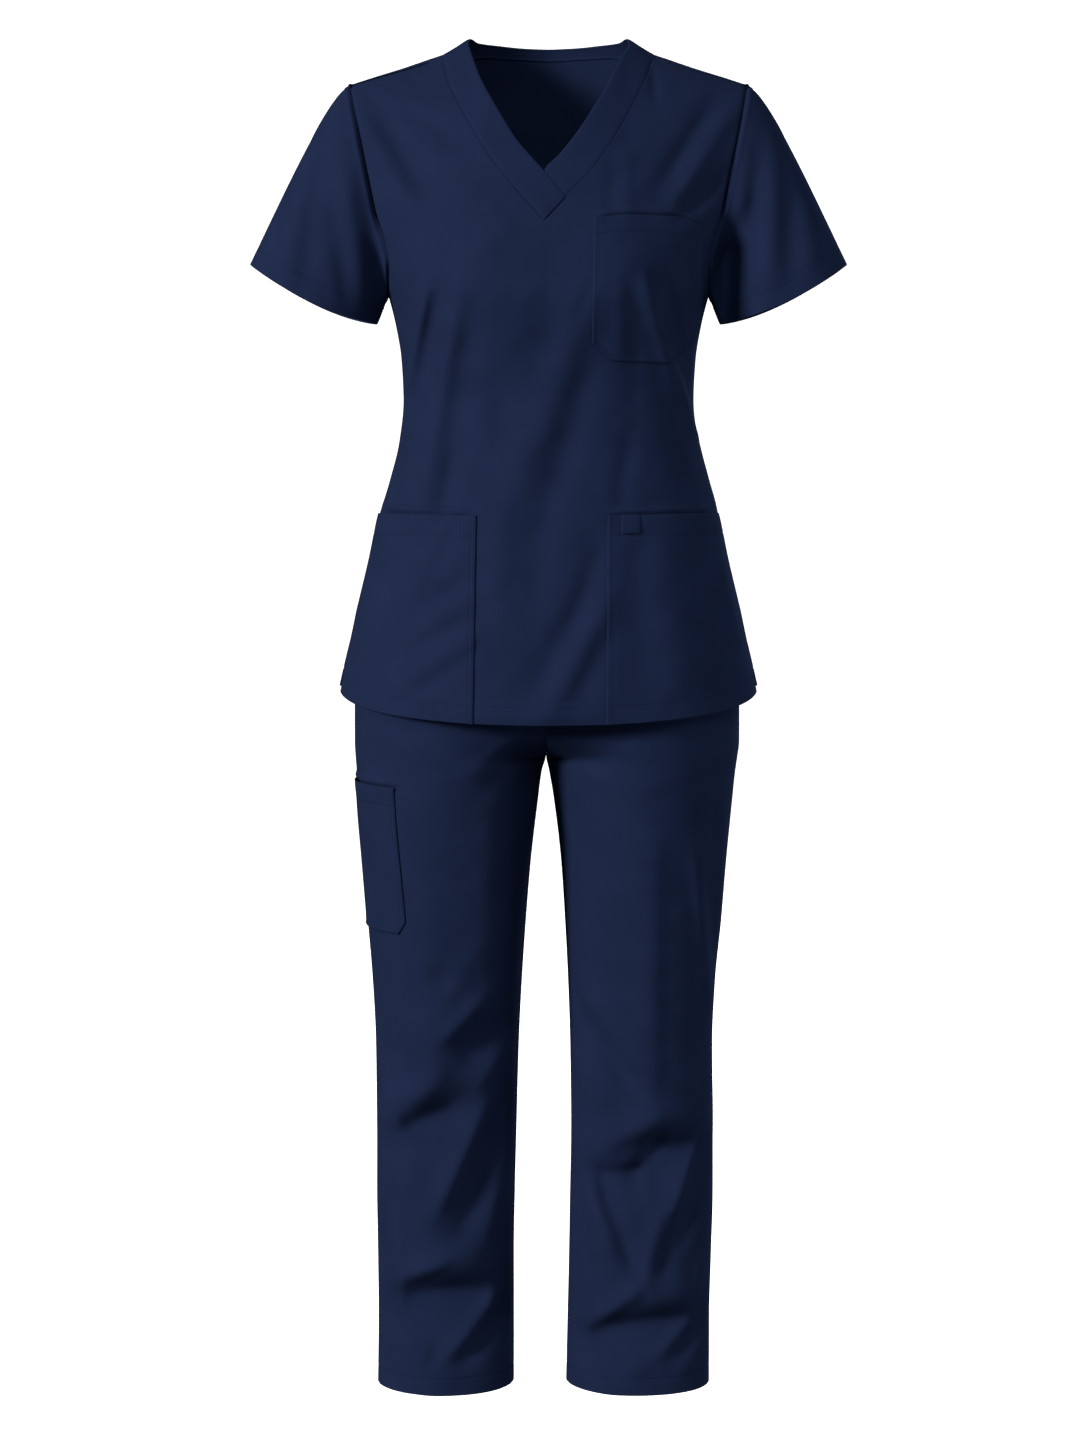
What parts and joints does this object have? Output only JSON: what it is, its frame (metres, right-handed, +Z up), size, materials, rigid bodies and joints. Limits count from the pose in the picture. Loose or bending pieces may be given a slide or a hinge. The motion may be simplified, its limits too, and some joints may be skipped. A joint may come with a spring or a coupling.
{
  "type": "nurse uniform: V-neck scrub top and trousers, as worn",
  "caption": "Women's navy scrub set: fitted short-sleeved V-neck top with patch pockets over straight trousers, hollow and shaped as worn.",
  "frame": {"origin": "centre of the neck opening, between the inner ends of the shoulder seams, where the wearer's shoulders carry the set", "axes": "+Z up along the body, front facing -Y, +X to the wearer's left"},
  "size_m": [0.5882, 0.2756, 1.3452],
  "materials": {
    "navy_cloth": "matte fine twill",
    "navy_band": "matte fine twill, doubled"
  },
  "bodies": {
    "root": {"top_front": "navy_cloth", "top_back": "navy_cloth", "sleeve_right": "navy_cloth", "sleeve_left": "navy_cloth", "neckband_right": "navy_band", "neckband_left": "navy_band", "neckband_back": "navy_band", "chest_pocket": "navy_cloth", "lower_pocket_right": "navy_cloth", "lower_pocket_left": "navy_cloth", "pocket_loop": "navy_cloth", "trousers_right_front": "navy_cloth", "trousers_right_back": "navy_cloth", "trousers_left_front": "navy_cloth", "trousers_left_back": "navy_cloth", "waistband": "navy_cloth", "cargo_pocket": "navy_cloth"}
  },
  "joints": []
}
